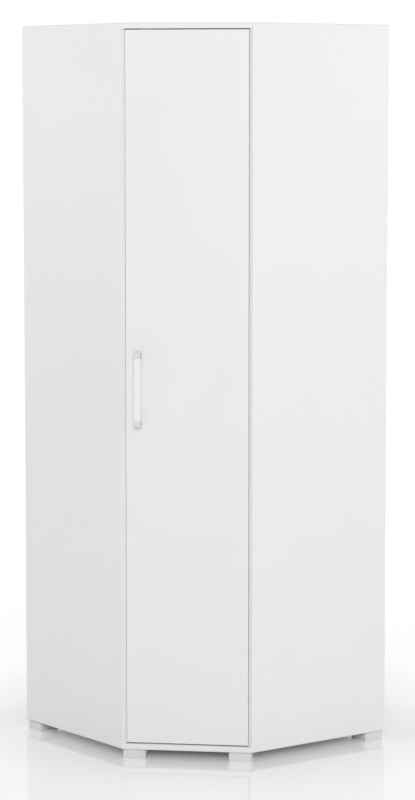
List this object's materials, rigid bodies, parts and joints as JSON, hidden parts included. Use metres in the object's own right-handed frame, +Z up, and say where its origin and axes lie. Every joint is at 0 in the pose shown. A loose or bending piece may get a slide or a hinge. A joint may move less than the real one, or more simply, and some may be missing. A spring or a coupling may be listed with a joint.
{
  "type": "corner wardrobe",
  "caption": "Tall white five-sided wardrobe for a room corner, with a narrow hinged door in its diagonal front, a bar handle, shelves and a clothes rail.",
  "frame": {"origin": "middle of the bounding box, handle included, on the floor", "axes": "+Z up; the diagonal front with the door faces -Y; +X to the right seen from the front"},
  "size_m": [1.0536, 0.8922, 2.05],
  "materials": {
    "white_melamine": "satin melamine foil with a fine pearl texture",
    "white_edging": "satin plastic edge strip",
    "hardboard_back": "hardboard, lacquered white inside and raw outside",
    "silver_plastic": "silver-grey satin plastic",
    "satin_chrome": "satin chrome",
    "white_lacquer": "white gloss lacquer",
    "nickel_steel": "nickel-plated pressed steel",
    "zinc_steel": "bright zinc plating",
    "chrome_rail": "polished chrome",
    "white_plastic": "white moulded plastic",
    "beech": "ribbed beech"
  },
  "bodies": {
    "carcass": {"cam_bolts": "zinc_steel", "cam_locks": "zinc_steel", "cam_covers": "white_plastic", "wood_dowels": "beech", "back_panel_nails": "zinc_steel", "wall_brackets": "zinc_steel", "wall_bracket_screws": "zinc_steel", "foot_front_left": "silver_plastic", "foot_front_right": "silver_plastic", "foot_left": "silver_plastic", "foot_right": "silver_plastic", "foot_rear": "silver_plastic", "foot_screws": "zinc_steel", "shelf_pins": "zinc_steel", "clothes_rail": "chrome_rail", "rail_brackets": "white_plastic", "rail_end_caps": "white_plastic", "rail_bracket_screws": "zinc_steel", "hinge_arm_1": "nickel_steel", "hinge_plate_1": "nickel_steel", "hinge_arm_2": "nickel_steel", "hinge_plate_2": "nickel_steel", "hinge_arm_3": "nickel_steel", "hinge_plate_3": "nickel_steel", "hinge_arm_4": "nickel_steel", "hinge_plate_4": "nickel_steel", "hinge_plate_screws": "zinc_steel", "hinge_arm_screws": "zinc_steel", "upper_catch": "white_plastic", "lower_catch": "white_plastic", "catch_screws": "zinc_steel", "bottom_panel": "white_melamine", "bottom_panel_edging": "white_edging", "top_panel": "white_melamine", "top_panel_edging": "white_edging", "left_side_panel": "white_melamine", "left_side_edging": "white_edging", "left_back_panel": "hardboard_back", "right_side_panel": "white_melamine", "right_side_edging": "white_edging", "right_back_panel": "hardboard_back", "rear_post": "white_melamine", "hat_shelf": "white_melamine", "hat_shelf_edging": "white_edging", "lower_shelf": "white_melamine", "lower_shelf_edging": "white_edging"},
    "door": {"hinge_cup_1": "nickel_steel", "hinge_cup_2": "nickel_steel", "hinge_cup_3": "nickel_steel", "hinge_cup_4": "nickel_steel", "hinge_pins": "nickel_steel", "hinge_cup_screws": "zinc_steel", "strike_plates": "zinc_steel", "handle_bar": "white_lacquer", "handle_block_lower": "satin_chrome", "handle_block_upper": "satin_chrome", "handle_screws": "zinc_steel", "door_panel": "white_melamine", "door_edging": "white_edging"}
  },
  "joints": [
    {"name": "door_hinge", "type": "hinge", "parent": "carcass", "child": "door", "pos_m": [0.15159, -0.40855, 1.03775], "axis": [0, 0, 1], "range_deg": [0, 100]}
  ]
}
